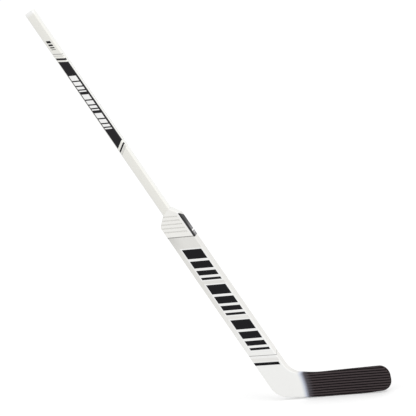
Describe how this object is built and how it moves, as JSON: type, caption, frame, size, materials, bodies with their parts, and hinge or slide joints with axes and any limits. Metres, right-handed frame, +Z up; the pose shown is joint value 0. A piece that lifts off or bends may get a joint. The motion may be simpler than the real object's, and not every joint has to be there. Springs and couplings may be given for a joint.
{
  "type": "hockey goalie stick",
  "caption": "Goaltender's hockey stick with a rectangular shaft, a wide foam-cored paddle with ribbed grips, and a grooved blade that curves at the toe.",
  "frame": {"origin": "middle of the flat stretch of the blade's sole, on the ice, in the mid-plane of the shaft", "axes": "+X along the sole from heel to toe, +Z up from the ice, +Y from the shooter's side to the back; the shaft leans back over the heel at its lie angle"},
  "size_m": [0.9598, 0.024, 1.2739],
  "materials": {
    "white_paint": "satin white paint over glass fibre",
    "white_grip": "moulded matte white",
    "white_cap": "moulded white",
    "black_blade": "matte black paint over woven fibre",
    "black_rubber": "moulded rubber",
    "aspen": "bare wood",
    "birch": "bare wood",
    "foam": "rigid foam",
    "carbon_rib": "carbon fibre"
  },
  "bodies": {
    "root": {"shaft_wrap": "white_paint", "heel_side_rail": "white_paint", "toe_side_rail": "white_paint", "paddle_front_sheet": "white_paint", "paddle_back_sheet": "white_paint", "heel_front_skin": "white_paint", "heel_back_skin": "white_paint", "heel_sole_band": "white_paint", "neck_band": "white_paint", "front_rib_grip": "white_grip", "back_rib_grip": "white_grip", "butt_plug": "white_cap", "blade_front_skin": "black_blade", "blade_back_skin": "black_blade", "blade_edge_band": "black_blade", "finger_grip": "black_rubber", "shaft_core_centre_ply": "aspen", "shaft_core_front_ply": "birch", "shaft_core_back_ply": "birch", "heel_spline": "birch", "heel_core": "aspen", "heel_side_foam": "foam", "toe_side_foam": "foam", "blade_lower_foam": "foam", "blade_middle_foam": "foam", "blade_upper_foam": "foam", "blade_lower_rib": "carbon_rib", "blade_upper_rib": "carbon_rib"}
  },
  "joints": []
}
